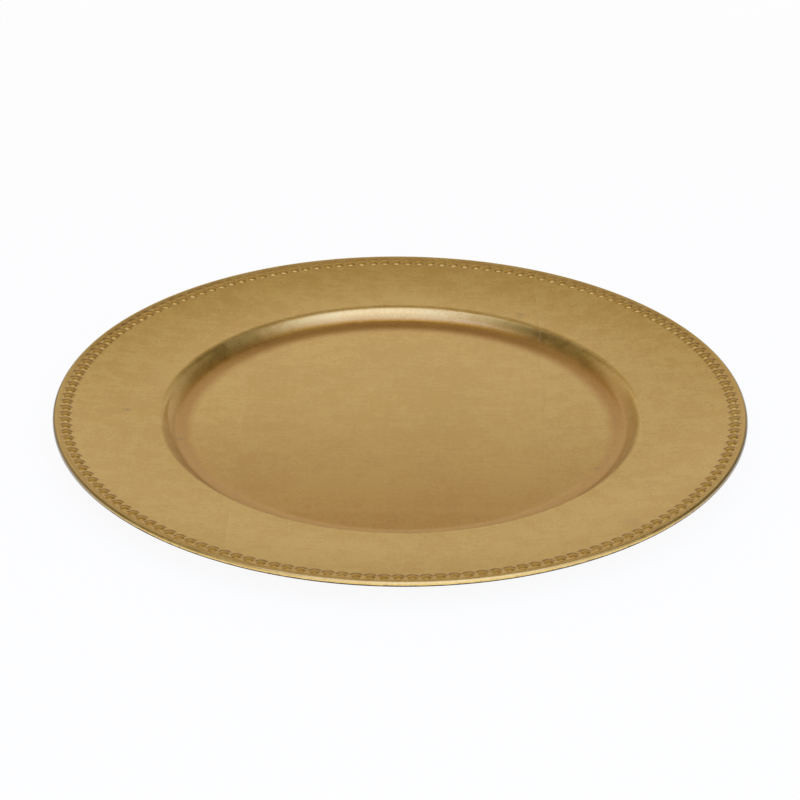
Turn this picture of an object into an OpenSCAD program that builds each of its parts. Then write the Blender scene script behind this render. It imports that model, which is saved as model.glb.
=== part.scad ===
// Gilded charger plate with a beaded rim, in millimetres.
// Origin: centre of the foot's resting plane. +Z is up, and the front of the plate faces -Y.
// The moulded core carries every other piece. Its section is one list of points, each with the slope
// of the face there, so the leaf, the beads and the back coat are all laid on the same points.

/* [Plate] */
// Overall diameter over the gilded edge
plate_d = 330; // [316:1:350]
// Overall height from the table to the top of the lip
plate_h = 16; // [15:0.25:20]
// Thickness of the moulded core, square to its face
wall = 2.2; // [1.6:0.1:2.8]

/* [Well] */
// Depth from the shoulder to the floor
well_depth = 6.9; // [5.5:0.1:8.5]
// Radius of the long sweep that lifts the floor towards the cove
sweep_r = 52; // [30:1:56]
// Slope at which the sweep turns into the cove, in degrees
sweep_angle = 8; // [5:0.5:9]
// Radius of the tight hollow at the foot of the cove
cove_r = 6; // [4:0.25:8]
// Slope at which that hollow opens into the wider one above it, in degrees
cove_angle = 33; // [25:0.5:40]
// Steepest slope of the cove, on the straight wall above the wider hollow, in degrees
wall_angle = 54; // [46:0.5:60]
// How much of the height between the tight hollow and the shoulder is wider hollow; the rest is straight
flare_share = 0.75; // [0.1:0.05:0.9]
// Radius of the rounded shoulder at the top of the cove
shoulder_r = 3.5; // [3:0.1:4.5]

/* [Rim] */
// Width of the rim in plan, from the gilded edge in to the shoulder of the well
rim_w = 49.4; // [38:0.1:58]
// How much of the rim's rise comes late, from 0 for a plain cone to 1 for a rim that starts level
rim_dish_share = 0.6; // [0:0.05:0.9]
// Width of the plain lip between the beads and the edge
lip_w = 3.25; // [2.9:0.05:4.5]
// Height of the lip above the land that the beads stand on
lip_h = 0.75; // [0.6:0.05:0.95]
// Radius of the small hollow at the foot of the lip
lip_hollow_r = 0.5; // [0.3:0.05:0.6]
// Radius of the lip's inner crest
lip_crest_r = 0.8; // [0.4:0.05:0.9]
// Radius of the rolled outer edge
edge_r = 1.2; // [0.8:0.05:1.3]
// Thickness of the plate at its outer edge
edge_t = 2.1; // [2:0.05:2.6]
// Radius of the corner under the edge
edge_under_r = 0.4; // [0.2:0.05:0.5]

/* [Beads] */
// Number of beads in the ring
bead_count = 165; // [60:1:185]
// Diameter of a bead where it meets the land
bead_d = 4.6; // [3.6:0.1:5.4]
// Height of a bead above the land
bead_h = 0.8; // [0.6:0.05:1.4]
// Bare land left on each side of the beads
bead_margin = 0.3; // [0.1:0.05:0.5]
// Where the first bead stands past the X axis, as a share of the pitch
bead_start_share = 0.7; // [0:0.05:1]

/* [Gilding and coat] */
// Thickness of a leaf of metal with its ground and lacquer
leaf_t = 0.15; // [0.1:0.01:0.2]
// Side of one square sheet of leaf, from seam to seam
leaf_side = 146; // [140:1:160]
// How far the grid of sheets lies off the plate's centre
leaf_offset = -3.2; // [-10:0.1:10]
// Bare wall left between the edge leaf and the corner under the edge
leaf_stop = 0.2; // [0.1:0.05:0.3]
// Thickness of the dark coat on the back
coat_t = 0.15; // [0.1:0.01:0.2]

/* [Foot] */
// Height of the foot ring below the underside of the floor
foot_h = 1.6; // [1:0.1:2]
// Distance from the edge of the flat floor in to the middle of the foot's resting face
foot_inset = 6; // [4:0.5:25]
// Width of the foot ring's resting face
foot_w = 3; // [2:0.1:4]
// How much wider the foot is at its root, on each side
foot_draft = 0.5; // [0.2:0.05:0.8]
// Height of bare foot between the table and the coat
foot_bare_h = 0.4; // [0.2:0.05:0.6]

/* [Hidden] */

// Facets of a full turn for the plate and for a bead
turn_facets = 240;
bead_facets = 96;
// Steps along each round stretch of the section
sweep_steps = 4;
cove_steps = 6;
flare_steps = 5;
shoulder_steps = 6;
rim_steps = 10;
lip_steps = 4;
edge_steps = 8;
// Slope of the face on the upright outer wall, and on a level underside
upright = -90;
underside = -180;

gold = "darkgoldenrod";
pale_gold = "goldenrod";
core_colour = "saddlebrown";
coat_colour = [0.12, 0.09, 0.07];

// Each sheet's seams lie this share of a sheet off the grid, for the left, middle and right columns
column_shares = [0.057, -0.093, 0.01];

core_r = plate_d / 2 - leaf_t;
floor_z = foot_h + wall;
crest_z = plate_h - leaf_t;

// A point of the section is [distance from the axis, height, slope], and a slope of 0 faces up.
// Points of an arc about the centre c, whose face is hollow (radius below 0) or round
function arc(c, radius, from, to, steps) = [
    for (i = [0 : steps])
        let (a = from + (to - from) * i / steps)
        [c[0] - radius * sin(a), c[1] + radius * cos(a), a]
];

// Centre of an arc of that radius which passes through the point p
function arc_centre(p, radius) = [p[0] + radius * sin(p[2]), p[1] - radius * cos(p[2])];

// Slope of the straight that touches a hollow arc about f and then a round arc about s
function wall_slope(f, hollow_r, s, round_r) =
    let (d = s - f, both = hollow_r + round_r)
    atan2(d[1], d[0]) + atan2(both, sqrt(d * d - both * both));

// Points moved along their own normals by the distance t
function laid(points, t) = [for (p = points) [p[0] - t * sin(p[2]), p[1] + t * cos(p[2])]];

function reversed(points) = [for (i = [len(points) - 1 : -1 : 0]) points[i]];
function last(points) = points[len(points) - 1];

// Outline of a film of thickness t laid on the points
function film(points, t) = concat(laid(points, 0), reversed(laid(points, t)));

// Land for the beads, inside the lip
land_r = core_r - lip_w;
land_w = bead_d + 2 * bead_margin;
land_z = crest_z - lip_h;

// Rim: a shallow dish from the shoulder to the land
well_r = plate_d / 2 - rim_w;
rim_run = land_r - well_r;
rim_rise = land_z - floor_z - well_depth;
land_share = 1 - land_w / rim_run;
function rim_z(t) = floor_z + well_depth + rim_rise * t * (1 - rim_dish_share + rim_dish_share * t);
function rim_slope(t) = atan(rim_rise * (1 - rim_dish_share + 2 * rim_dish_share * t) / rim_run);
function rim_point(t, slope) = [well_r + rim_run * t, rim_z(t), slope];
land_slope = atan((rim_z(1) - rim_z(land_share)) / land_w);
rim_start = rim_point(0, rim_slope(0));
rim_points = [for (i = [1 : rim_steps - 1])
    let (t = land_share * i / rim_steps)
    rim_point(t, rim_slope(t))];
land_points = [rim_point(land_share, land_slope), rim_point(1, land_slope)];

// Floor, sweep, cove, wall and shoulder of the well. The wall has what the other arcs leave of the
// depth, shared by a wide hollow and a straight. The flat floor has what they all leave of the radius.
wall_h = well_depth - sweep_r * (1 - cos(sweep_angle)) - cove_r * (cos(sweep_angle) - cos(cove_angle))
    - shoulder_r * (cos(rim_start[2]) - cos(wall_angle));
flare_r = flare_share * wall_h / (cos(cove_angle) - cos(wall_angle));
well_run = sweep_r * sin(sweep_angle)
    + cove_r * (sin(cove_angle) - sin(sweep_angle))
    + flare_r * (sin(wall_angle) - sin(cove_angle))
    + (1 - flare_share) * wall_h / tan(wall_angle)
    + shoulder_r * (sin(wall_angle) - sin(rim_start[2]));
floor_r = well_r - well_run;
sweep_centre = [floor_r, floor_z + sweep_r];
sweep_points = arc(sweep_centre, -sweep_r, 0, sweep_angle, sweep_steps);
cove_centre = arc_centre(last(sweep_points), -cove_r);
cove_points = arc(cove_centre, -cove_r, sweep_angle + (cove_angle - sweep_angle) / cove_steps,
    cove_angle, cove_steps - 1);
flare_centre = arc_centre(last(cove_points), -flare_r);
flare_points = arc(flare_centre, -flare_r, cove_angle + (wall_angle - cove_angle) / flare_steps,
    wall_angle, flare_steps - 1);
shoulder_centre = arc_centre(rim_start, shoulder_r);
shoulder_points = arc(shoulder_centre, shoulder_r, wall_angle, rim_start[2], shoulder_steps);

well_points = concat(sweep_points, cove_points, flare_points, shoulder_points);
face_points = concat([[0, floor_z, 0]], well_points, rim_points, land_points);

// Lip and rolled edge, down to where the edge leaf stops
hollow_centre = arc_centre(last(land_points), -lip_hollow_r);
crest_centre = [core_r - edge_r, crest_z - lip_crest_r];
lip_slope = wall_slope(hollow_centre, lip_hollow_r, crest_centre, lip_crest_r);
edge_centre = [core_r - edge_r, crest_z - edge_r];
under_z = crest_z - edge_t;
under_centre = [core_r - edge_under_r, under_z + edge_under_r];
leaf_end = [core_r, under_centre[1] + leaf_stop, upright];
lip_points = concat([last(land_points)],
    arc(hollow_centre, -lip_hollow_r, land_slope + (lip_slope - land_slope) / lip_steps, lip_slope, lip_steps - 1),
    arc(crest_centre, lip_crest_r, lip_slope, lip_slope / lip_steps, lip_steps - 1),
    arc(edge_centre, edge_r, 0, upright, edge_steps),
    [leaf_end]);

// Underside: the corner, then the face's own line one wall thickness lower, in to the foot
under_land = [for (p = [last(land_points)]) [p[0] + wall * sin(p[2]), p[1] - wall * cos(p[2])]][0];
under_slope = underside + atan((under_z - under_land[1]) / (core_r - edge_under_r - under_land[0]));
under_lip_points = concat([leaf_end], arc(under_centre, edge_under_r, upright, under_slope, edge_steps));
under_face_points = [for (p = reversed(concat(well_points, rim_points, land_points)))
    [p[0] + wall * sin(p[2]), p[1] - wall * cos(p[2]), underside + p[2]]];
under_points = concat(under_lip_points, under_face_points);

foot_r = floor_r - foot_inset;
foot_out = foot_r + foot_w / 2;
foot_in = foot_r - foot_w / 2;

core_outline = concat(
    laid(face_points, 0),
    laid(lip_points, 0),
    laid(under_points, 0),
    [
        [foot_out + foot_draft, foot_h],
        [foot_out, 0],
        [foot_in, 0],
        [foot_in - foot_draft, foot_h],
        [0, foot_h],
    ]
);

// The core: foot, floor, cove, rim, land, lip and edge in one moulding
module moulded_core() {
    color(core_colour)
    rotate_extrude($fn = turn_facets)
    polygon(core_outline);
}

// Sheets of leaf: column 0 to 2 from the left, row 0 to 2 from the front
function seam_x(column) = leaf_offset + leaf_side * (column - 1.5);
function seam_y(column, row) = leaf_side * (row - 1.5 + column_shares[column]);
function sheet_low(seam, place) = place == 0 ? -plate_d : seam;
function sheet_high(seam, place) = place == 2 ? plate_d : seam;

module leaf_sheet(column, row) {
    x0 = sheet_low(seam_x(column), column);
    x1 = sheet_high(seam_x(column + 1), column);
    y0 = sheet_low(seam_y(column, row), row);
    y1 = sheet_high(seam_y(column, row + 1), row);
    color((column + row) % 2 == 0 ? gold : pale_gold)
    intersection() {
        rotate_extrude($fn = turn_facets)
        polygon(film(face_points, leaf_t));
        translate([x0, y0, 0])
        cube([x1 - x0, y1 - y0, plate_h]);
    }
}

module leaf_centre() { leaf_sheet(1, 1); }
module leaf_front() { leaf_sheet(1, 0); }
module leaf_back() { leaf_sheet(1, 2); }
module leaf_left() { leaf_sheet(0, 1); }
module leaf_right() { leaf_sheet(2, 1); }
module leaf_front_left() { leaf_sheet(0, 0); }
module leaf_front_right() { leaf_sheet(2, 0); }
module leaf_back_left() { leaf_sheet(0, 2); }
module leaf_back_right() { leaf_sheet(2, 2); }

// The strip of leaf over the lip and round the rolled edge
module edge_leaf() {
    color(pale_gold)
    rotate_extrude($fn = turn_facets)
    polygon(film(lip_points, leaf_t));
}

// The ring of half beads: flat backs on the gilded land, each lifted clear of the land's hollow curve
bead_r = (bead_d * bead_d / 4 + bead_h * bead_h) / (2 * bead_h);
land_leaf = laid(land_points, leaf_t);
land_middle = (land_leaf[0] + land_leaf[1]) / 2;
bead_lift = bead_d * bead_d * sin(land_slope) / (8 * land_middle[0]);

module half_bead() {
    intersection() {
        translate([0, 0, bead_h - bead_r])
        sphere(r = bead_r, $fn = bead_facets);
        translate([-bead_d, -bead_d, 0])
        cube([2 * bead_d, 2 * bead_d, 2 * bead_h]);
    }
}

module bead_border() {
    color(gold)
    for (i = [0 : bead_count - 1])
    rotate([0, 0, (i + bead_start_share) * 360 / bead_count])
    translate([land_middle[0], 0, land_middle[1] + bead_lift])
    rotate([0, -land_slope, 0])
    half_bead();
}

// The dark coat on the back: from the edge leaf in to the foot, and on the floor inside the foot
foot_bare_draft = foot_draft * foot_bare_h / foot_h;
outer_coat = concat(
    laid(under_points, 0),
    [
        [foot_out + foot_draft, foot_h],
        [foot_out + foot_bare_draft, foot_bare_h],
        [foot_out + foot_bare_draft + coat_t, foot_bare_h],
        [foot_out + foot_draft + coat_t, foot_h - coat_t],
    ],
    reversed(laid(under_points, coat_t))
);
inner_coat = [
    [0, foot_h],
    [foot_in - foot_draft, foot_h],
    [foot_in - foot_bare_draft, foot_bare_h],
    [foot_in - foot_bare_draft - coat_t, foot_bare_h],
    [foot_in - foot_draft - coat_t, foot_h - coat_t],
    [0, foot_h - coat_t],
];

module back_coat() {
    color(coat_colour)
    rotate_extrude($fn = turn_facets) {
        polygon(outer_coat);
        polygon(inner_coat);
    }
}

moulded_core();
leaf_centre();
leaf_front();
leaf_back();
leaf_left();
leaf_right();
leaf_front_left();
leaf_front_right();
leaf_back_left();
leaf_back_right();
edge_leaf();
bead_border();
back_coat();
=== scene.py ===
"""Gilded charger plate with a beaded rim: gold leaf, beads, back coat, studio and camera.

The solids set the frame. Every piece here is worked out from the same section as the solids,
in millimetres, and becomes metres where its mesh is made. The front of the plate faces -Y.
"""

import math
from functools import reduce

import bmesh
import bpy
import numpy as np
from mathutils import Matrix, Quaternion, Vector

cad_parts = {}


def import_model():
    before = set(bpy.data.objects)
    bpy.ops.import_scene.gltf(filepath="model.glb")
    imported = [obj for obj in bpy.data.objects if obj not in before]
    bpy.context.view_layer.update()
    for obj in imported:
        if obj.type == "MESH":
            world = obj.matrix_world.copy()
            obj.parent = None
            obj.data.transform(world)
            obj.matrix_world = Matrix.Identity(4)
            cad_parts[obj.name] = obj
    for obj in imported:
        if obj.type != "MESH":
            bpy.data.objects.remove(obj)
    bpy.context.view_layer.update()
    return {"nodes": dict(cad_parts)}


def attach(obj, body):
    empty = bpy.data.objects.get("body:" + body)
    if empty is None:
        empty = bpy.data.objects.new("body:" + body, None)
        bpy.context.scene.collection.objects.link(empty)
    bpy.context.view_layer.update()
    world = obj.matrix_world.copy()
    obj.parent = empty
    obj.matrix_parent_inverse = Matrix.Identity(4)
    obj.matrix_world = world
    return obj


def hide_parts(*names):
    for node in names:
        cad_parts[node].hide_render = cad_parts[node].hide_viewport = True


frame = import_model()

MM = 0.001
RANDOM_SEED = 7

# The plate's section, in millimetres and degrees, as the solids have it
PLATE_D = 330.0
PLATE_H = 16.0
WALL = 2.2
WELL_DEPTH = 6.9
SWEEP_R = 52.0
SWEEP_ANGLE = 8.0
COVE_R = 6.0
COVE_ANGLE = 33.0
WALL_ANGLE = 54.0
FLARE_SHARE = 0.75
SHOULDER_R = 3.5
RIM_W = 49.4
RIM_DISH_SHARE = 0.6
LIP_W = 3.25
LIP_H = 0.75
LIP_HOLLOW_R = 0.5
LIP_CREST_R = 0.8
EDGE_R = 1.2
EDGE_T = 2.1
EDGE_UNDER_R = 0.4
BEAD_COUNT = 165
BEAD_D = 4.6
BEAD_H = 0.8
BEAD_MARGIN = 0.3
BEAD_START_SHARE = 0.7
LEAF_T = 0.15
LEAF_SIDE = 146.0
LEAF_OFFSET = -3.2
COLUMN_SHARES = (0.057, -0.093, 0.01)
LEAF_STOP = 0.2
COAT_T = 0.15
FOOT_H = 1.6
FOOT_INSET = 6.0
FOOT_W = 3.0
FOOT_DRAFT = 0.5
FOOT_BARE_H = 0.4

# Finer than the solids: steps along each stretch of the section, and round the plate
TURN_STEPS = 480
SHEET_TURN_STEPS = 360
FLOOR_STEPS = 20
SWEEP_STEPS = 10
COVE_STEPS = 16
FLARE_STEPS = 8
WALL_STEPS = 2
SHOULDER_STEPS = 12
RIM_STEPS = 26
LAND_STEPS = 4
LIP_STEPS = 8
EDGE_STEPS = 18
OUTER_WALL_STEPS = 2
SHARP_ANGLE = math.radians(35)
AXIS_R = 1e-6


# ---------------------------------------------------------------- section

def arc(centre, radius, start, end, steps):
    """Points [r, z, slope] of an arc between two slopes. A radius below 0 is a hollow face."""
    a = np.radians(np.linspace(start, end, steps + 1))
    return np.column_stack([centre[0] - radius * np.sin(a), centre[1] + radius * np.cos(a), a])


def arc_centre(point, radius):
    return point[0] + radius * math.sin(point[2]), point[1] - radius * math.cos(point[2])


def arc_run(a, b):
    """Width of an arc of radius 1 between slopes a and b, in degrees."""
    return math.sin(math.radians(b)) - math.sin(math.radians(a))


def arc_rise(a, b):
    """Height of an arc of radius 1 between slopes a and b, in degrees."""
    return math.cos(math.radians(a)) - math.cos(math.radians(b))


def tangent_slope(hollow, hollow_r, round_, round_r):
    """Slope of the straight that touches a hollow arc and then a round arc, in degrees."""
    dx, dz = round_[0] - hollow[0], round_[1] - hollow[1]
    both = hollow_r + round_r
    reach = math.sqrt(dx * dx + dz * dz - both * both)
    return math.degrees(math.atan2(dz, dx) + math.atan2(both, reach))


def laid(points, t):
    """The points moved along their own normals by t."""
    r, z, slope = np.asarray(points, float).T
    return np.column_stack([r - t * np.sin(slope), z + t * np.cos(slope), slope])


def straight(a, b, steps):
    """Points between a and b, without a, that keep b's slope."""
    share = np.linspace(0, 1, steps + 1)[1:, None]
    points = np.array(a)[None, :] * (1 - share) + np.array(b)[None, :] * share
    points[:, 2] = b[2]
    return points


CORE_R = PLATE_D / 2 - LEAF_T
FLOOR_Z = FOOT_H + WALL
CREST_Z = PLATE_H - LEAF_T
WELL_R = PLATE_D / 2 - RIM_W
LAND_R = CORE_R - LIP_W
LAND_W = BEAD_D + 2 * BEAD_MARGIN
LAND_Z = CREST_Z - LIP_H
RIM_RUN = LAND_R - WELL_R
RIM_RISE = LAND_Z - FLOOR_Z - WELL_DEPTH
LAND_SHARE = 1 - LAND_W / RIM_RUN


def rim_height(t):
    """Height of the rim at a share t of the way from the shoulder to the lip."""
    return FLOOR_Z + WELL_DEPTH + RIM_RISE * t * (1 - RIM_DISH_SHARE + RIM_DISH_SHARE * t)


def rim_slope(t):
    return math.atan(RIM_RISE * (1 - RIM_DISH_SHARE + 2 * RIM_DISH_SHARE * t) / RIM_RUN)


def rim_point(t, slope):
    return [WELL_R + RIM_RUN * t, rim_height(t), slope]


LAND_SLOPE = math.atan((rim_height(1) - rim_height(LAND_SHARE)) / LAND_W)


def face_section():
    """The core's upper face, from the centre out to the foot of the lip."""
    rim_start = rim_point(0, rim_slope(0))
    start = math.degrees(rim_start[2])
    arcs = (
        (SWEEP_R, 0, SWEEP_ANGLE),
        (COVE_R, SWEEP_ANGLE, COVE_ANGLE),
        (SHOULDER_R, start, WALL_ANGLE),
    )
    wall_h = WELL_DEPTH - sum(radius * arc_rise(a, b) for radius, a, b in arcs)
    flare_r = FLARE_SHARE * wall_h / arc_rise(COVE_ANGLE, WALL_ANGLE)
    arcs += ((flare_r, COVE_ANGLE, WALL_ANGLE),)
    arcs_w = sum(radius * arc_run(a, b) for radius, a, b in arcs)
    floor_r = WELL_R - arcs_w - (1 - FLARE_SHARE) * wall_h / math.tan(math.radians(WALL_ANGLE))

    floor_face = [[r, FLOOR_Z, 0.0] for r in np.linspace(0, floor_r, FLOOR_STEPS + 1)]
    sweep = arc((floor_r, FLOOR_Z + SWEEP_R), -SWEEP_R, 0, SWEEP_ANGLE, SWEEP_STEPS)
    cove = arc(arc_centre(sweep[-1], -COVE_R), -COVE_R, SWEEP_ANGLE, COVE_ANGLE, COVE_STEPS)
    flare = arc(arc_centre(cove[-1], -flare_r), -flare_r, COVE_ANGLE, WALL_ANGLE, FLARE_STEPS)
    shoulder = arc(arc_centre(rim_start, SHOULDER_R), SHOULDER_R, WALL_ANGLE, start, SHOULDER_STEPS)
    wall = straight(flare[-1], shoulder[0], WALL_STEPS)
    rim = [rim_point(t, rim_slope(t)) for t in np.linspace(0, LAND_SHARE, RIM_STEPS + 1)[1:]]
    land = straight(rim_point(LAND_SHARE, LAND_SLOPE), rim_point(1, LAND_SLOPE), LAND_STEPS)
    return np.vstack([floor_face, sweep[1:], cove[1:], flare[1:], wall, shoulder[1:], rim, land])


def lip_section(land_end):
    """The lip, the rolled edge and the outer wall, down to where the edge leaf stops."""
    hollow = arc_centre(land_end, -LIP_HOLLOW_R)
    crest = (CORE_R - EDGE_R, CREST_Z - LIP_CREST_R)
    slope = tangent_slope(hollow, LIP_HOLLOW_R, crest, LIP_CREST_R)
    foot = arc(hollow, -LIP_HOLLOW_R, math.degrees(land_end[2]), slope, LIP_STEPS)
    top = arc(crest, LIP_CREST_R, slope, 0, LIP_STEPS)
    edge = arc((CORE_R - EDGE_R, CREST_Z - EDGE_R), EDGE_R, 0, -90, EDGE_STEPS)
    end = [CORE_R, CREST_Z - EDGE_T + EDGE_UNDER_R + LEAF_STOP, -math.pi / 2]
    return np.vstack([foot, top, edge[1:], straight(edge[-1], end, OUTER_WALL_STEPS)])


FACE = face_section()
LIP = lip_section(FACE[-1])


def under_section():
    """The underside, from where the edge leaf stops in to the edge of the flat floor."""
    under_z = CREST_Z - EDGE_T
    corner_r = CORE_R - EDGE_UNDER_R
    outer_r, outer_z, outer_slope = FACE[-1]
    fall = under_z - (outer_z - WALL * math.cos(outer_slope))
    run = corner_r - (outer_r + WALL * math.sin(outer_slope))
    slope = -180 + math.degrees(math.atan(fall / run))
    corner = arc((corner_r, under_z + EDGE_UNDER_R), EDGE_UNDER_R, -90, slope, EDGE_STEPS // 2)
    face = laid(FACE[FLOOR_STEPS:][::-1], -WALL) - [0, 0, math.pi]
    return np.vstack([[LIP[-1]], corner, face])


UNDER = under_section()


# ---------------------------------------------------------------- meshes

def add_object(name, verts, faces, material, nodes):
    """A piece that rides on the plate, stands for the named nodes and has sharp edges marked."""
    mesh = bpy.data.meshes.new(name)
    mesh.from_pydata([tuple(v) for v in np.asarray(verts) * MM], [], faces)
    mesh.validate()
    mesh.shade_smooth()
    mesh.set_sharp_from_angle(angle=SHARP_ANGLE)
    mesh.materials.append(material)
    piece = bpy.data.objects.new(name, mesh)
    bpy.context.scene.collection.objects.link(piece)
    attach(piece, "root")
    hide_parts(*nodes)
    return piece


def shifted(faces, offset):
    return [[v + offset for v in face] for face in faces]


def lathe(section, steps, closed):
    """Vertices and faces of a section [r, z] turned about Z. A point on the axis stays single."""
    angles = np.linspace(0, 2 * math.pi, steps, endpoint=False)
    verts, rings = [], []
    for r, z in np.asarray(section)[:, :2]:
        if r < AXIS_R:
            rings.append([len(verts)] * steps)
            verts.append((0.0, 0.0, z))
        else:
            rings.append(list(range(len(verts), len(verts) + steps)))
            verts.extend(zip(r * np.cos(angles), r * np.sin(angles), [z] * steps))
    faces = []
    for i in range(len(rings) if closed else len(rings) - 1):
        a, b = rings[i], rings[(i + 1) % len(rings)]
        for j in range(steps):
            k = (j + 1) % steps
            face = list(dict.fromkeys((a[j], b[j], b[k], a[k])))
            if len(face) > 2:
                faces.append(face)
    return np.array(verts), faces


# ---------------------------------------------------------------- sheets of leaf

LAP_W = 3.0
LAP_RISE = 0.018
LAP_EASE = 1.6
LAP_LEAST_T = 0.012
# How a seam strays from straight: amplitude and length of each wave, and how it counts the phase
SEAM_WAVES = ((0.6, 19, 1), (0.3, 7.1, 2), (0.18, 3.3, 3))
SEAM_STRAY = 0.45
SEAM_PHASE = 1.7
ROW_SEAM_SEED = 5
SEAM_REACH = 14.0
SEAM_LINE_W = 0.9
LAP_CUTS = (0.5 * SEAM_LINE_W, SEAM_LINE_W, LAP_W, LAP_W + 0.5 * LAP_EASE, LAP_W + LAP_EASE)
CUT_TOLERANCE = 1e-5
LAST = 2
TOP = laid(FACE, LEAF_T)


def seam_x(column):
    return LEAF_OFFSET + LEAF_SIDE * (column - 1.5)


def seam_y(column, row):
    return LEAF_SIDE * (row - 1.5 + COLUMN_SHARES[column])


def seam_wave(along, seed):
    """How far a seam strays from straight, in millimetres, at a place along it."""
    phase = SEAM_PHASE * seed
    return SEAM_STRAY * sum(size * np.sin(along / length + count * phase)
                            for size, length, count in SEAM_WAVES)


def smooth(t):
    t = np.clip(t, 0, 1)
    return t * t * (3 - 2 * t)


def fade(distance):
    """1 on a seam, and 0 from SEAM_REACH away."""
    return 1 - smooth(np.abs(distance) / SEAM_REACH)


def lap_rise(distance, rise):
    """Height of the strip of a sheet that lies over its neighbour, eased down behind it."""
    return rise * (1 - smooth((distance - LAP_W) / LAP_EASE))


def seam_line(distance):
    """1 on a sheet's free edge, and 0 from SEAM_LINE_W away."""
    return np.clip(1 - distance / SEAM_LINE_W, 0, 1)


def grid_mesh():
    """The gilded face as one flat polar grid: only x and y count until a sheet is cut."""
    verts, faces = lathe(TOP, SHEET_TURN_STEPS, closed=False)
    verts[:, 2] = 0
    mesh = bpy.data.meshes.new("grid")
    mesh.from_pydata([tuple(v) for v in verts], [], faces)
    return mesh


def cut(bm, axis, place, keep_above=None):
    """Cuts the grid at x or y = place, and drops one side unless keep_above is None."""
    point, normal = Vector((0, 0, 0)), Vector((0, 0, 0))
    point[axis], normal[axis] = place, 1
    bmesh.ops.bisect_plane(
        bm, geom=bm.verts[:] + bm.edges[:] + bm.faces[:], dist=CUT_TOLERANCE,
        plane_co=point, plane_no=normal,
        clear_inner=keep_above is True, clear_outer=keep_above is False)


def cut_sheet(grid, cells):
    """Places and faces of the part of the grid that one sheet covers, with its lap strips.

    cells gives, along X and along Y, which column or row it is and the seams on its two sides.
    """
    bm = bmesh.new()
    bm.from_mesh(grid)
    for axis, (index, low, high) in enumerate(cells):
        if index > 0:
            cut(bm, axis, low, keep_above=True)
            for offset in LAP_CUTS:
                cut(bm, axis, low + offset)
        if index < LAST:
            cut(bm, axis, high + LAP_W, keep_above=False)
    flat = bpy.data.meshes.new("flat_sheet")
    bm.to_mesh(flat)
    bm.free()
    xy = np.array([v.co for v in flat.vertices])[:, :2]
    faces = [list(p.vertices) for p in flat.polygons]
    bpy.data.meshes.remove(flat)
    return xy, faces


def closed_faces(faces, count):
    """The faces of a sheet, the same faces on its lower side, and walls round its free edges."""
    once = {}
    for face in faces:
        for a, b in zip(face, face[1:] + face[:1]):
            key = (min(a, b), max(a, b))
            once[key] = None if key in once else (a, b)
    walls = [[b, a, a + count, b + count] for a, b in filter(None, once.values())]
    return faces + shifted([face[::-1] for face in faces], count) + walls


def leaf_sheet(grid, column, row, name, material):
    """One sheet of leaf. It lies over the sheets to its left and in front of it."""
    cells = ((column, seam_x(column), seam_x(column + 1)),
             (row, seam_y(column, row), seam_y(column, row + 1)))
    xy, faces = cut_sheet(grid, cells)
    flat = xy.copy()
    seeds = (column, ROW_SEAM_SEED + 3 * column + row)
    rise, line = np.zeros(len(xy)), np.zeros(len(xy))
    # Where four sheets meet, the strip along Y lies on the one along X, so it rises twice as far
    for axis, (laps, seed, (index, low, high)) in enumerate(zip((2, 1), seeds, cells)):
        across, along = flat[:, axis], flat[:, 1 - axis]
        if index > 0:
            rise += lap_rise(across - low, laps * LAP_RISE)
            line = np.maximum(line, seam_line(across - low))
            xy[:, axis] += seam_wave(along, seed) * fade(across - low)
        if index < LAST:
            xy[:, axis] += seam_wave(along, seed + 1) * fade(across - high)
    radius = np.hypot(xy[:, 0], xy[:, 1])
    over = np.maximum(radius / TOP[-1, 0], 1)
    xy /= over[:, None]
    radius /= over
    top = np.interp(radius, TOP[:, 0], TOP[:, 1]) + rise
    low = top - np.clip(LEAF_T * (1 - rise / LAP_RISE), LAP_LEAST_T, LEAF_T)
    verts = np.vstack([np.column_stack([xy, top]), np.column_stack([xy, low])])
    faces = closed_faces(faces, len(xy))
    sheet = add_object(name + "_sheet", verts, faces, material, [name])
    seam = sheet.data.attributes.new("seam", "FLOAT", "POINT")
    seam.data.foreach_set("value", np.concatenate([line, line]))


# ---------------------------------------------------------------- edge leaf, beads and coat

# The torn lower end of the edge leaf: waves round the plate, their height and the largest phase
TEAR_WAVES = (9, 23, 41, 67, 101)
TEAR_H = (0.02, 0.05)
TEAR_PHASE = 6.28


def edge_leaf(material, rng):
    """The strip of leaf over the lip, with its lower end torn a little unevenly."""
    section = np.vstack([laid(LIP, 0), laid(LIP, LEAF_T)[::-1]])
    verts, faces = lathe(section, TURN_STEPS, closed=True)
    rings = verts.reshape(len(section), TURN_STEPS, 3)
    angle = np.linspace(0, 2 * math.pi, TURN_STEPS, endpoint=False)
    tear = np.zeros(TURN_STEPS)
    for waves in TEAR_WAVES:
        tear += np.sin(waves * angle + rng.uniform(0, TEAR_PHASE)) * rng.uniform(*TEAR_H)
    for ring in (len(LIP) - 1, len(LIP)):
        rings[ring, :, 2] += np.maximum(tear, 0)
    add_object("edge_leaf_strip", rings.reshape(-1, 3), faces, material, ["edge_leaf"])


BEAD_TURN_STEPS = 32
BEAD_DOME_R = 4.2
BEAD_DOME_SLOPE = 27.0
BEAD_DOME_STEPS = 6
BEAD_SIDE_R = 0.6
BEAD_SIDE_SLOPE = 36.0
BEAD_SIDE_STEPS = 4
BEAD_FILLET_R = 0.14
BEAD_FILLET_STEPS = 3
BEAD_SINK = 0.02
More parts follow.
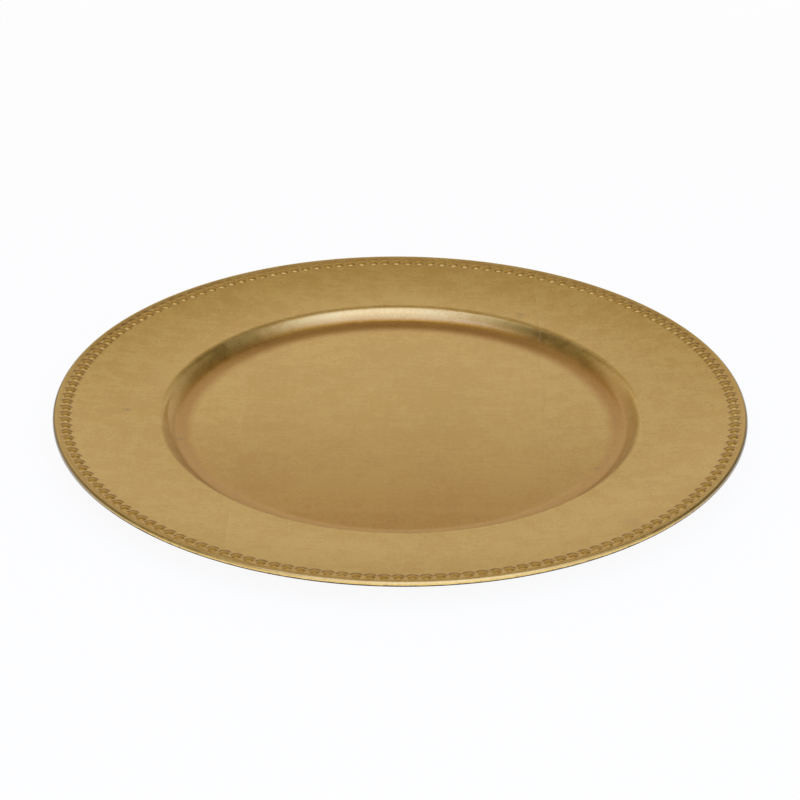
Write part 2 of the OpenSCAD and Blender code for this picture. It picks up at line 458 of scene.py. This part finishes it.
# How uneven the beads are: mean and spread of their width and height, largest size, and place
BEAD_WIDTH_SHARE = (1, 0.012)
BEAD_HEIGHT_SHARE = (0.98, 0.04)
BEAD_LARGEST_SHARE = 1.04
BEAD_STRAY = 0.05
BEAD_PLACE = (TOP[-1 - LAND_STEPS] + TOP[-1]) / 2
BEAD_RING_R = float(BEAD_PLACE[0])


def bead_section():
    """Half a bead from its foot to its top: a fillet, a steeper side rounded over, a low dome."""
    dome = arc((0, BEAD_H - BEAD_DOME_R), BEAD_DOME_R, -BEAD_DOME_SLOPE, 0, BEAD_DOME_STEPS)
    side = arc(arc_centre(dome[0], BEAD_SIDE_R), BEAD_SIDE_R, -BEAD_SIDE_SLOPE, -BEAD_DOME_SLOPE,
               BEAD_SIDE_STEPS)
    slope = math.radians(BEAD_SIDE_SLOPE)
    run = (side[0][1] - BEAD_FILLET_R * (1 - math.cos(slope))) / math.tan(slope)
    foot_r = side[0][0] + run + BEAD_FILLET_R * math.sin(slope)
    fillet = arc((foot_r, BEAD_FILLET_R), -BEAD_FILLET_R, 0, -BEAD_SIDE_SLOPE, BEAD_FILLET_STEPS)
    return np.vstack([[[foot_r, -BEAD_SINK, 0]], fillet, side, dome[1:]])[:, :2]


def bead_border(material, rng):
    """The ring of half beads, each a little uneven in size and place."""
    verts, faces = lathe(bead_section(), BEAD_TURN_STEPS, closed=False)
    bead_faces = [face[::-1] for face in faces] + [list(range(BEAD_TURN_STEPS))]
    lift = BEAD_D ** 2 * math.sin(LAND_SLOPE) / (8 * BEAD_PLACE[0])
    all_verts, all_faces = [], []
    for i in range(BEAD_COUNT):
        size = np.append(rng.normal(*BEAD_WIDTH_SHARE, 2), rng.normal(*BEAD_HEIGHT_SHARE))
        stray = rng.normal(0, BEAD_STRAY, 2)
        turn = (i + BEAD_START_SHARE) * 2 * math.pi / BEAD_COUNT
        place = (BEAD_PLACE[0] + stray[0], stray[1], BEAD_PLACE[1] + lift)
        m = np.array(Matrix.Rotation(turn, 4, "Z") @ Matrix.Translation(place)
                     @ Matrix.Rotation(-LAND_SLOPE, 4, "Y"))
        size = np.minimum(size, BEAD_LARGEST_SHARE)
        all_verts.append((verts * size) @ m[:3, :3].T + m[:3, 3])
        all_faces += shifted(bead_faces, len(verts) * i)
    add_object("bead_border_gilt", np.vstack(all_verts), all_faces, material,
               ["bead_border"])


def back_coat(material):
    """The dark coat: from the edge leaf in to the foot, and on the floor inside the foot."""
    foot_r = UNDER[-1, 0] - FOOT_INSET
    outer_r, inner_r = foot_r + FOOT_W / 2, foot_r - FOOT_W / 2
    bare = FOOT_DRAFT * FOOT_BARE_H / FOOT_H
    outer = np.vstack([
        UNDER[:, :2],
        [[outer_r + FOOT_DRAFT, FOOT_H],
         [outer_r + bare, FOOT_BARE_H],
         [outer_r + bare + COAT_T, FOOT_BARE_H],
         [outer_r + FOOT_DRAFT + COAT_T, FOOT_H - COAT_T]],
        laid(UNDER, COAT_T)[::-1, :2],
    ])
    inner = [
        [0, FOOT_H],
        [inner_r - FOOT_DRAFT, FOOT_H],
        [inner_r - bare, FOOT_BARE_H],
        [inner_r - bare - COAT_T, FOOT_BARE_H],
        [inner_r - FOOT_DRAFT - COAT_T, FOOT_H - COAT_T],
        [0, FOOT_H - COAT_T],
    ]
    verts, faces = lathe(outer, TURN_STEPS, closed=True)
    more, more_faces = lathe(inner, TURN_STEPS, closed=False)
    faces += shifted(more_faces, len(verts))
    add_object("back_coat_lacquer", np.vstack([verts, more]), faces, material,
               ["back_coat"])


# ---------------------------------------------------------------- node graphs

class Graph:
    """Adds nodes to a tree and sets or links their inputs in one call."""

    def __init__(self, tree):
        self.tree = tree
        tree.nodes.clear()

    def put(self, socket, value):
        if isinstance(value, bpy.types.NodeSocket):
            self.tree.links.new(value, socket)
        else:
            socket.default_value = value

    def add(self, kind, inputs=None, **settings):
        node = self.tree.nodes.new("ShaderNode" + kind)
        for name, value in settings.items():
            setattr(node, name, value)
        for name, value in (inputs or {}).items():
            self.put(node.inputs[name], value)
        return node

    def math(self, operation, a, b=0.0):
        return self.add("Math", {0: a, 1: b}, operation=operation).outputs[0]

    def total(self, *terms):
        return reduce(lambda a, b: self.math("ADD", a, b), terms)

    def times(self, *factors):
        return reduce(lambda a, b: self.math("MULTIPLY", a, b), factors)

    def apart(self, a, b):
        return self.math("ABSOLUTE", self.math("SUBTRACT", a, b))

    def remap(self, value, low, high, to_low=0.0, to_high=1.0):
        return self.add("MapRange", {"Value": value, "From Min": low, "From Max": high,
                                     "To Min": to_low, "To Max": to_high}).outputs[0]

    def swing(self, noise, reach, low=0.3):
        """Noise spread evenly about 0, as far as reach either way. low is where it bottoms out."""
        return self.remap(noise, low, 1 - low, -reach, reach)

    def mix(self, share, a, b):
        """Colour a where share is 0, b where it is 1."""
        node = self.add("Mix", data_type="RGBA")
        self.put(node.inputs[0], share)
        for socket, colour in ((node.inputs[6], a), (node.inputs[7], b)):
            self.put(socket, colour if isinstance(colour, bpy.types.NodeSocket) else (*colour, 1))
        return node.outputs[2]

    def product(self, a, b):
        """One colour times another."""
        return self.add("VectorMath", {0: a, 1: b}, operation="MULTIPLY").outputs[0]

    def place(self, scale=(1, 1, 1), turn=0.0, shift=(0, 0, 0)):
        """Position on the object in millimetres, times scale, after a turn about Z."""
        coord = self.add("TexCoord").outputs["Object"]
        turned = self.add("Mapping", {"Vector": coord, "Rotation": (0, 0, math.radians(turn))})
        return self.add("Mapping", {"Vector": turned.outputs[0], "Location": shift,
                                    "Scale": tuple(s / MM for s in scale)}).outputs[0]

    def xyz(self, vector):
        return self.add("SeparateXYZ", {0: vector}).outputs

    def flat_distance(self, x, y):
        """Distance in plan from a place on the plate, in millimetres."""
        ends = {0: self.product(self.place(), (1, 1, 0)), 1: (x, y, 0)}
        return self.add("VectorMath", ends, operation="DISTANCE").outputs["Value"]

    def noise(self, vector, scale, detail, roughness):
        return self.add("TexNoise", {"Vector": vector, "Scale": scale, "Detail": detail,
                                     "Roughness": roughness}).outputs[0]

    def bump(self, height, distance, normal=None):
        inputs = {"Height": height, "Distance": distance, "Strength": 1.0}
        if normal is not None:
            inputs["Normal"] = normal
        return self.add("Bump", inputs).outputs[0]

    def ramp(self, value, stops):
        """Colour at a value from 0 to 1, between stops (place, colour) in rising order."""
        node = self.add("ValToRGB", {"Fac": value})
        elements = node.color_ramp.elements
        for _ in range(len(stops) - len(elements)):
            elements.new(1.0)
        for element, (place, colour) in zip(elements, stops):
            element.position = place
            element.color = (*colour, 1)
        return node.outputs[0]

    def surface(self, shader):
        self.add("OutputMaterial", {"Surface": shader.outputs[0]})


def material_graph(name):
    material = bpy.data.materials.new(name)
    material.use_nodes = True
    return material, Graph(material.node_tree)


# ---------------------------------------------------------------- gold leaf

GOLD_LIGHT = (0.90, 0.645, 0.195)
GOLD_DEEP = (0.79, 0.515, 0.125)
GOLD_BROWN = (0.78, 0.46, 0.11)
# Painted highlight along the sheets' lap edges
LAP_HIGHLIGHT = (0.94, 0.76, 0.38)
SMUDGE = (0.45, 0.30, 0.12)
RUBBED = (0.72, 0.36, 0.09)
BOLE = (0.20, 0.075, 0.03)
# Painted shade on the rolled edge at the sides
SIDE_EDGE_SHADE = (0.20, 0.14, 0.055)
# Painted shade in the crease behind each bead
CREASE_SHADE = (0.30, 0.115, 0.0)
# Painted shade tint for the hollows and the front of the well, and white for no shade
SHADE_TONE = (0.76, 0.57, 0.26)
UNSHADED = (1, 1, 1)
GOLD_ROUGHNESS = 0.42
GOLD_ROUGHNESS_REACH = 0.04
MATT_ROUGHNESS = 0.4
LACQUER_ROUGHNESS = 0.15
LACQUER_IOR = 1.7
DENT_H = 0.02 * MM
BRUSH_H = 0.006 * MM

# Noises: scale per millimetre, detail, roughness
CLOUDS = (0.016, 3.0, 0.5)
MOTTLE = (0.10, 4.0, 0.6)
GRAIN = (0.75, 4.0, 0.65)
TARNISH = (0.05, 4.0, 0.6)
SEAM_GAPS = (0.25, 3.0, 0.6)
SEAM_STRETCHES = (0.028, 2.0, 0.5)
PINHOLES = (0.42, 6.0, 0.7)
NICKS = (0.35, 5.0, 0.75)
DENTS = (0.09, 2.0, 0.5)
BRUSH = (1.0, 5.0, 0.7)
CROSS_BRUSH = (1.0, 4.0, 0.6)
# Scale of the long noises along X, Y and Z, and how far the cross brushing leans at least
BRUSH_SCALE = (0.035, 0.6, 0.3)
CROSS_BRUSH_SCALE = (0.5, 0.05, 0.3)
CROSS_BRUSH_LEAN = -8
TARNISH_SCALE = (0.5, 1, 1)
# How far each noise moves the tone between deep and light gold
CLOUDS_REACH = 0.35
MOTTLE_REACH = 0.7
BRUSH_REACH = 0.35
CROSS_BRUSH_REACH = 0.15
GRAIN_REACH = 0.6
# Each material looks at another part of the noises
SEED_SHIFT = (31.7, 17.3, 7.9)

# Painted shade in the hollows: radius, half of its width, share
SHADED_HOLLOWS = ((105.5, 7.5, 1.0), (LAND_R + 0.3, 1.2, 0.2))
# Painted shade also darkens the front of the well: y where it starts and is full, and share
FRONT_SHADE = (10.0, -98.0, 0.8)
# Radii between which that front shade fades out, at the foot of the cove
FRONT_SHADE_END = (102, 108)
# Painted shade in the crease behind each bead: radius and width of its ring, and share left at the
# plate's back
CREASE_R = 2.15
CREASE_W = 1.5
CREASE_BACK_SHARE = 0.3
CREASE_BACK_Y = (60, 150)
# Painted shade on the rolled edge at the plate's sides: |x| where it starts and where it is full
SIDE_SHADE_X = (110, 160)
NICK_H = 0.5


def painted_shade_share(g):
    """How much painted shade lies at a place, from 0 to 1: in the hollows and at the front of the
    well.
    """
    radius = g.flat_distance(0, 0)
    start, full, most = FRONT_SHADE
    front = g.remap(g.xyz(g.place())["Y"], start, full, 0, most)
    share = g.times(front, g.remap(radius, *FRONT_SHADE_END, 1, 0))
    for place, half, most in SHADED_HOLLOWS:
        hollow = g.remap(g.apart(radius, place), 0.35 * half, half, most, 0)
        share = g.math("MAXIMUM", share, hollow)
    return share


def crease_shade_share(g):
    """1 in the crease behind each bead, where shade is painted; less of it towards the plate's
    back.
    """
    where = g.xyz(g.place())
    turn = g.times(g.math("ARCTAN2", where["Y"], where["X"]), BEAD_COUNT / (2 * math.pi))
    turn = g.math("FRACT", g.total(turn, BEAD_COUNT + 0.5 - BEAD_START_SHARE))
    pitch = 2 * math.pi * BEAD_RING_R / BEAD_COUNT
    along = g.times(g.math("SUBTRACT", turn, 0.5), pitch)
    across = g.math("SUBTRACT", g.flat_distance(0, 0), BEAD_RING_R)
    away = g.math("SQRT", g.total(g.times(along, along), g.times(across, across)))
    ring = g.remap(g.apart(away, CREASE_R), CREASE_W, 0.4 * CREASE_W)
    behind = g.total(g.times(across, g.math("DIVIDE", where["Y"], BEAD_RING_R)),
                     g.times(along, g.math("DIVIDE", where["X"], BEAD_RING_R)))
    fewer = g.remap(where["Y"], *CREASE_BACK_Y, 1.0, CREASE_BACK_SHARE)
    return g.times(ring, fewer, g.remap(behind, 0.1, 1.3))


def lap_highlight_share(g, place, lap_highlight_strength):
    """The painted highlight along a sheet's free edge: broken, and missing over long stretches."""
    seam = g.add("Attribute", attribute_name="seam").outputs["Fac"]
    gaps = g.remap(g.noise(place, *SEAM_GAPS), 0.35, 0.6, 0.2, 0.8)
    stretches = g.remap(g.noise(place, *SEAM_STRETCHES), 0.46, 0.58, 0.08, 1.0)
    return g.times(seam, g.times(gaps, stretches, lap_highlight_strength))


def side_edge_shade_share(g, mottle):
    """Painted shade on the rolled edge, most at the sides."""
    radius = g.total(g.flat_distance(0, 0), g.swing(mottle, 0.1))
    at_sides = g.remap(g.math("ABSOLUTE", g.xyz(g.place())["X"]), *SIDE_SHADE_X)
    rolled_edge = g.remap(radius, PLATE_D / 2 - 1.2 * EDGE_R, PLATE_D / 2 - 0.4 * EDGE_R)
    return g.times(rolled_edge, at_sides)


def nicked_share(g, place):
    """Nicks along the lower side of the rolled edge."""
    nicks = g.remap(g.noise(place, *NICKS), 0.52, 0.6)
    end_z = LIP[-1][1]
    return g.times(nicks, g.remap(g.xyz(g.place())["Z"], end_z + NICK_H, end_z))


def gold_leaf(name, seed, tone=0.0, lean=0.0, lap_highlight_strength=1.0, mottled=1.0, marks=(),
              nicked_and_shaded_edge=False, matt=0.0, coat=1.0):
    """Laid leaf under lacquer: cloudy, mottled and brushed, with pinholes and a painted lap-edge
    highlight.

    marks are places in millimetres with a radius, a colour and a share. With a nicked and shaded
    edge, the rolled edge gets painted shade, most at its sides, and nicks along its lower side.
    """
    material, g = material_graph(name)
    shift = tuple(seed * s for s in SEED_SHIFT)
    place = g.place(shift=shift)
    clouds = g.noise(place, *CLOUDS)
    mottle = g.noise(place, *MOTTLE)
    grain = g.noise(place, *GRAIN)
    brush = g.noise(g.place(BRUSH_SCALE, lean, shift), *BRUSH)
    cross_brush = g.noise(g.place(CROSS_BRUSH_SCALE, 2 * lean + CROSS_BRUSH_LEAN, shift),
                          *CROSS_BRUSH)

    share = g.total(g.swing(clouds, CLOUDS_REACH),
                    g.swing(mottle, MOTTLE_REACH * mottled, low=0.25),
                    g.swing(brush, BRUSH_REACH),
                    g.swing(cross_brush, CROSS_BRUSH_REACH),
                    g.swing(grain, GRAIN_REACH * mottled, low=0.25),
                    0.5 + tone)
    colour = g.mix(share, GOLD_DEEP, GOLD_LIGHT)
    tarnish = g.noise(g.place(TARNISH_SCALE, shift=shift), *TARNISH)
    colour = g.mix(g.remap(tarnish, 0.55, 0.75, 0.0, 0.35), colour, GOLD_BROWN)
    # Painted highlight along each lap edge
    colour = g.mix(lap_highlight_share(g, place, lap_highlight_strength), colour, LAP_HIGHLIGHT)
    for x, y, radius, mark, most in marks:
        away = g.total(g.flat_distance(x, y), g.swing(mottle, 0.5 * radius))
        near = g.remap(away, 0.2 * radius, radius, 1.0, 0.0)
        colour = g.mix(g.times(near, g.remap(grain, 0.3, 0.7, 0.2 * most, most)), colour, mark)
    bare = g.times(g.remap(g.noise(place, *PINHOLES), 0.69, 0.76),
                   g.remap(clouds, 0.4, 0.6, 0.15, 0.6))
    if nicked_and_shaded_edge:
        # Painted shade on the rolled edge, most at the sides
        colour = g.mix(side_edge_shade_share(g, mottle), colour, SIDE_EDGE_SHADE)
        bare = g.math("MAXIMUM", bare, nicked_share(g, place))
    colour = g.mix(bare, colour, BOLE)
    # Painted shade in the crease behind each bead
    colour = g.mix(crease_shade_share(g), colour, CREASE_SHADE)
    # Painted shade in the hollows and at the front of the well
    shade_amount = g.times(painted_shade_share(g), g.remap(mottle, 0.3, 0.7, 0.85, 1.0))
    colour = g.product(colour, g.mix(shade_amount, UNSHADED, SHADE_TONE))

    rough = g.total(g.swing(mottle, GOLD_ROUGHNESS_REACH), g.swing(brush, GOLD_ROUGHNESS_REACH),
                    GOLD_ROUGHNESS + MATT_ROUGHNESS * matt)
    normal = g.bump(brush, BRUSH_H, g.bump(g.noise(place, *DENTS), DENT_H))
    g.surface(g.add("BsdfPrincipled", {
        "Base Color": colour, "Metallic": 1.0, "Roughness": rough, "Normal": normal,
        "Coat Weight": coat, "Coat Roughness": LACQUER_ROUGHNESS + matt,
        "Coat IOR": LACQUER_IOR,
    }))
    return material


# ---------------------------------------------------------------- coat and moulding

COAT_DARK = (0.030, 0.018, 0.012)
COAT_LIGHT = (0.055, 0.034, 0.024)
COAT_RUBBED = (0.12, 0.075, 0.05)
COAT_IOR = 1.5
COAT_CLOUDS = (0.03, 4.0, 0.6)
COAT_PEEL = (0.8, 2.0, 0.5)
COAT_PEEL_H = 0.012 * MM
COAT_RUBS = (0.5, 6.0, 0.7)
COAT_RUBS_SCALE = (1, 0.2, 1)
COAT_RUBS_TURN = 35

MOULDING_DARK = (0.13, 0.060, 0.032)
MOULDING_LIGHT = (0.20, 0.095, 0.05)
MOULDING_CLOUDS = (0.25, 5.0, 0.6)
MOULDING_SHEEN = (1.2, 3.0, 0.6)
MOULDING_GRAIN = (2.0, 3.0, 0.6)
MOULDING_GRAIN_H = 0.01 * MM


def dark_lacquer():
    """Satin dark brown coat, with orange peel and a few rubbed places."""
    material, g = material_graph("dark_lacquer")
    place = g.place()
    clouds = g.noise(place, *COAT_CLOUDS)
    rub = g.noise(g.place(COAT_RUBS_SCALE, COAT_RUBS_TURN), *COAT_RUBS)
    rub = g.remap(rub, 0.62, 0.75)
    colour = g.mix(g.remap(clouds, 0.3, 0.7), COAT_DARK, COAT_LIGHT)
    colour = g.mix(g.times(rub, 0.5), colour, COAT_RUBBED)
    rough = g.total(g.remap(clouds, 0.3, 0.7, 0.30, 0.42), g.times(rub, 0.2))
    g.surface(g.add("BsdfPrincipled", {
        "Base Color": colour, "Roughness": rough, "IOR": COAT_IOR,
        "Normal": g.bump(g.noise(place, *COAT_PEEL), COAT_PEEL_H),
    }))
    return material


def moulded_plastic():
    """Reddish brown moulding, seen on the bare foot and where the edge leaf is nicked."""
    material, g = material_graph("moulded_plastic")
    place = g.place()
    clouds = g.remap(g.noise(place, *MOULDING_CLOUDS), 0.3, 0.7)
    g.surface(g.add("BsdfPrincipled", {
        "Base Color": g.mix(clouds, MOULDING_DARK, MOULDING_LIGHT),
        "Roughness": g.remap(g.noise(place, *MOULDING_SHEEN), 0.3, 0.7, 0.5, 0.7),
        "Normal": g.bump(g.noise(place, *MOULDING_GRAIN), MOULDING_GRAIN_H),
    }))
    return material


# ---------------------------------------------------------------- studio

BLACK = (0, 0, 0)
WHITE = (1, 1, 1, 1)
FLOOR_R = 4.0
FLOOR_TURN_STEPS = 96
FLOOR_ALBEDO = 0.8
FLOOR_SEEN_ALBEDO = 0.1
FLOOR_GLOW = 0.93
# The floor goes over from the glow that keeps a shadow to plain white between these radii
FLOOR_WHITE_R = (0.35, 1.1)
FLOOR_GRAIN = (0.6, 3.0, 0.6)
WORLD_LIGHT = 0.3

WALL_R = 1.5
WALL_H = 2.4
WALL_TURN_STEPS = 64
BRIGHTEST = 2.0

# Brightness of the round wall: for each azimuth from the back, at these heights in metres
WALL_HEIGHTS = (0.10, 0.37, 0.57, 0.72, 0.87, 1.05, 1.30, 1.70, 2.20)
WALL_BRIGHTNESS = {
    20: (0.28, 0.40, 0.63, 1.07, 0.71, 0.27, 0.29, 0.35, 0.40),
    42: (0.72, 0.78, 0.70, 0.56, 0.36, 0.18, 0.08, 0.08, 0.15),
    65: (0.40, 0.44, 0.26, 0.06, 0.00, 0.00, 0.00, 0.02, 0.15),
    102: (0.20, 0.18, 0.08, 0.02, 0.00, 0.00, 0.05, 0.20, 0.48),
    152: (1.20, 1.00, 0.80, 0.74, 1.00, 1.65, 1.55, 1.12, 0.95),
}
# The whole wall is turned this far to the left, in degrees
WALL_TURN = 12.0
DARK_TINT = (1.0, 0.87, 0.64)
LOW_TINT = (1.0, 0.855, 0.58)
HIGH_TINT = (1.0, 0.90, 0.76)
FRONT_TINT = (1.0, 1.10, 1.40)
# Heights in metres between which one tint goes over into the next, and azimuths for the front
LOW_TINT_Z = (0.30, 0.65)
HIGH_TINT_Z = (1.2, 1.7)
FRONT_HIGH_TINT_Z = (1.0, 1.5)
FRONT_AZIMUTH = (math.radians(100), math.radians(140))

# Brightness of the ceiling: at these places from the back to the front, in metres
CEILING_PLACES = (1.30, 0.95, 0.65, 0.20, 0.00, -0.20, -0.40, -0.65, -0.95, -1.30)
CEILING_BRIGHTNESS = (0.38, 0.33, 0.27, 0.27, 0.48, 0.88, 1.16, 1.16, 1.00, 0.94)
CEILING_BACK_TINT = (1.0, 0.78, 0.48)
CEILING_FRONT_TINT = (1.0, 1.20, 2.15)
CEILING_TINT_Y = (-0.1, -0.7)


def seen_share(g):
    """1 for rays that see a surface directly, in a mirror or through glass, 0 for the rest."""
    path = g.add("LightPath").outputs
    return g.math("MAXIMUM", path["Is Camera Ray"],
                  g.math("MAXIMUM", path["Is Glossy Ray"], path["Is Transmission Ray"]))


def floor():
    """Pale table. A glow that only seen rays meet lifts it to white, and keeps its shadow."""
    bpy.ops.mesh.primitive_circle_add(vertices=FLOOR_TURN_STEPS, radius=FLOOR_R, fill_type="NGON")
    table = bpy.context.object
    table.name = "table"
    material, g = material_graph("table")
    where = g.add("TexCoord").outputs["Object"]
    radius = g.add("VectorMath", {0: where}, operation="LENGTH").outputs["Value"]
    grain = g.remap(g.noise(g.place(), *FLOOR_GRAIN), 0.3, 0.7, 0.985, 1.0)
    plain = g.add("BsdfDiffuse", {"Color": g.mix(grain, BLACK, (FLOOR_ALBEDO,) * 3)})
    pale = g.add("BsdfDiffuse", {"Color": g.mix(grain, BLACK, (FLOOR_SEEN_ALBEDO,) * 3)})
    glow = g.add("Emission", {"Color": WHITE, "Strength": FLOOR_GLOW})
    white = g.add("Emission", {"Color": WHITE, "Strength": 1.0})
    near = g.add("AddShader", {0: pale.outputs[0], 1: glow.outputs[0]})
    seen = g.add("MixShader", {0: g.remap(radius, *FLOOR_WHITE_R),
                               1: near.outputs[0], 2: white.outputs[0]})
    g.surface(g.add("MixShader", {0: seen_share(g), 1: plain.outputs[0], 2: seen.outputs[0]}))
    table.data.materials.append(material)


def studio_card(name, verts, faces):
    """A glowing card that lights the plate and shows in it, but that the camera doesn't see."""
    mesh = bpy.data.meshes.new(name)
    mesh.from_pydata(verts, [], faces)
    card = bpy.data.objects.new(name, mesh)
    bpy.context.scene.collection.objects.link(card)
    card.visible_camera = False
    card.visible_shadow = False
    material, g = material_graph(name)
    mesh.materials.append(material)
    return g, g.xyz(g.add("NewGeometry").outputs["Position"])


def studio_ring(z):
    angles = [2 * math.pi * i / WALL_TURN_STEPS for i in range(WALL_TURN_STEPS)]
    return [(WALL_R * math.sin(a), WALL_R * math.cos(a), z) for a in angles]


def brightness_ramp(g, value, places, brightness):
    """Grey ramp over places from 0 to 1, as a share of BRIGHTEST."""
    return g.ramp(value, [(place, (b / BRIGHTEST,) * 3) for place, b in zip(places, brightness)])


def glow_surface(g, colour):
    g.surface(g.add("Emission", {"Color": colour, "Strength": BRIGHTEST}))


def studio_wall():
    """Round wall: a warm backdrop, dark gaps beside it, and soft light high up at the front."""
    n = WALL_TURN_STEPS
    faces = [(i, (i + 1) % n, n + (i + 1) % n, n + i) for i in range(n)]
    g, where = studio_card("studio_wall", studio_ring(0) + studio_ring(WALL_H), faces)
    turned = g.total(g.math("ARCTAN2", where["X"], where["Y"]), math.radians(WALL_TURN))
    azimuth = g.math("ABSOLUTE", turned)
    height = g.math("DIVIDE", where["Z"], WALL_H)
    shares = [z / WALL_H for z in WALL_HEIGHTS]
    light, last = None, None
    for degrees, brightness in WALL_BRIGHTNESS.items():
        here = brightness_ramp(g, height, shares, brightness)
        if light is not None:
            turn = g.remap(azimuth, math.radians(last), math.radians(degrees))
            here = g.mix(turn, light, here)
        light, last = here, degrees
    tint = g.mix(g.remap(where["Z"], *LOW_TINT_Z), DARK_TINT, LOW_TINT)
    tint = g.mix(g.remap(where["Z"], *HIGH_TINT_Z), tint, HIGH_TINT)
    front = g.mix(g.remap(where["Z"], *FRONT_HIGH_TINT_Z), FRONT_TINT, CEILING_FRONT_TINT)
    tint = g.mix(g.remap(azimuth, *FRONT_AZIMUTH), tint, front)
    glow_surface(g, g.product(light, tint))


def studio_ceiling():
    """Round ceiling: one wide, slightly cool soft light in front of the plate, dark behind it."""
    g, where = studio_card("studio_ceiling", studio_ring(WALL_H), [tuple(range(WALL_TURN_STEPS))])
    place = g.math("DIVIDE", g.math("SUBTRACT", WALL_R, where["Y"]), 2 * WALL_R)
    shares = [(WALL_R - y) / (2 * WALL_R) for y in CEILING_PLACES]
    light = brightness_ramp(g, place, shares, CEILING_BRIGHTNESS)
    tint = g.mix(g.remap(where["Y"], *CEILING_TINT_Y), CEILING_BACK_TINT, CEILING_FRONT_TINT)
    glow_surface(g, g.product(light, tint))


def world():
    """White behind everything, for the rays that see it."""
    sky = bpy.data.worlds.new("studio")
    sky.use_nodes = True
    bpy.context.scene.world = sky
    g = Graph(sky.node_tree)
    strength = g.remap(seen_share(g), 0.0, 1.0, WORLD_LIGHT, 1.0)
    back = g.add("Background", {"Color": WHITE, "Strength": strength})
    g.add("OutputWorld", {"Surface": back.outputs[0]})


# ---------------------------------------------------------------- camera

IMAGE_SIDE = 800
SENSOR = 36.0
FOCAL_PX = 2765.0
CAMERA_DISTANCE = 8.0 * PLATE_D / 2 * MM
CAMERA_ELEVATION = math.radians(27.85)
CAMERA_ROLL = math.radians(0.4)
CAMERA_CLIP = (0.05, 50)
CENTRE_PX = (400.35, 401.0)


def camera():
    """The photograph's camera. The middle of the rim lies just off the picture's centre."""
    data = bpy.data.cameras.new("camera")
    data.sensor_width = SENSOR
    data.lens = FOCAL_PX * SENSOR / IMAGE_SIDE
    data.shift_x = -(CENTRE_PX[0] - IMAGE_SIDE / 2) / IMAGE_SIDE
    data.shift_y = (CENTRE_PX[1] - IMAGE_SIDE / 2) / IMAGE_SIDE
    data.clip_start, data.clip_end = CAMERA_CLIP
    cam = bpy.data.objects.new("camera", data)
    target = Vector((0, 0, PLATE_H * MM))
    back = Vector((0, -math.cos(CAMERA_ELEVATION), math.sin(CAMERA_ELEVATION)))
    level = (-back).to_track_quat("-Z", "Y")
    cam.location = target + back * CAMERA_DISTANCE
    cam.rotation_mode = "QUATERNION"
    cam.rotation_quaternion = level @ Quaternion((0, 0, 1), CAMERA_ROLL)
    bpy.context.scene.collection.objects.link(cam)
    bpy.context.scene.camera = cam


# ---------------------------------------------------------------- scene

# For each sheet: column, row, tone, lean of its brush lines in degrees, and how much the
# painted highlight on its free edges and its mottling show
SHEETS = {
    "leaf_front_left": (0, 0, 0.12, 4, 0.2, 1.3),
    "leaf_left": (0, 1, 0.05, 3, 1.0, 1.4),
    "leaf_back_left": (0, 2, 0.0, 2, 0.15, 1.3),
    "leaf_front": (1, 0, 0.02, 3, 1.0, 1.2),
    "leaf_centre": (1, 1, 0.0, 4, 0.35, 1.0),
    "leaf_back": (1, 2, -0.05, 1, 0.15, 1.2),
    "leaf_front_right": (2, 0, 0.06, 3, 0.3, 1.4),
    "leaf_right": (2, 1, 0.05, 2, 0.3, 1.5),
    "leaf_back_right": (2, 2, 0.0, 5, 1.0, 1.4),
}
# Smudges and rubbed spots: x, y, radius, colour, share
MARKS = {
    "leaf_left": ((-130.4, -2.3, 3.0, SMUDGE, 0.8), (-104.0, -18.0, 2.6, SMUDGE, 0.8)),
    "leaf_centre": ((-42.0, -81.0, 3.0, RUBBED, 0.5), (-19.0, -80.0, 2.4, RUBBED, 0.4)),
    "leaf_back": ((61.2, 104.6, 3.4, SMUDGE, 0.8),),
    "leaf_front_right": ((103.0, -108.0, 6.0, SMUDGE, 0.25),),
    "leaf_right": ((91.7, -42.9, 1.8, SMUDGE, 0.8),),
}
EDGE_LEAF_SEED = 20
BEADS_SEED = 30


def plate():
    rng = np.random.default_rng(RANDOM_SEED)
    grid = grid_mesh()
    for seed, (name, (column, row, *look)) in enumerate(SHEETS.items(), start=1):
        material = gold_leaf(name, seed, *look, marks=MARKS.get(name, ()))
        leaf_sheet(grid, column, row, name, material)
    bpy.data.meshes.remove(grid)
    edge_leaf(gold_leaf("edge_leaf", EDGE_LEAF_SEED, nicked_and_shaded_edge=True, matt=0.08), rng)
    bead_border(gold_leaf("beads", BEADS_SEED, tone=-0.5, coat=0.3), rng)
    back_coat(dark_lacquer())
    core = frame["nodes"]["moulded_core"]
    core.data.materials.clear()
    core.data.materials.append(moulded_plastic())


plate()
floor()
studio_wall()
studio_ceiling()
world()
camera()
bpy.context.scene.view_settings.view_transform = "Standard"
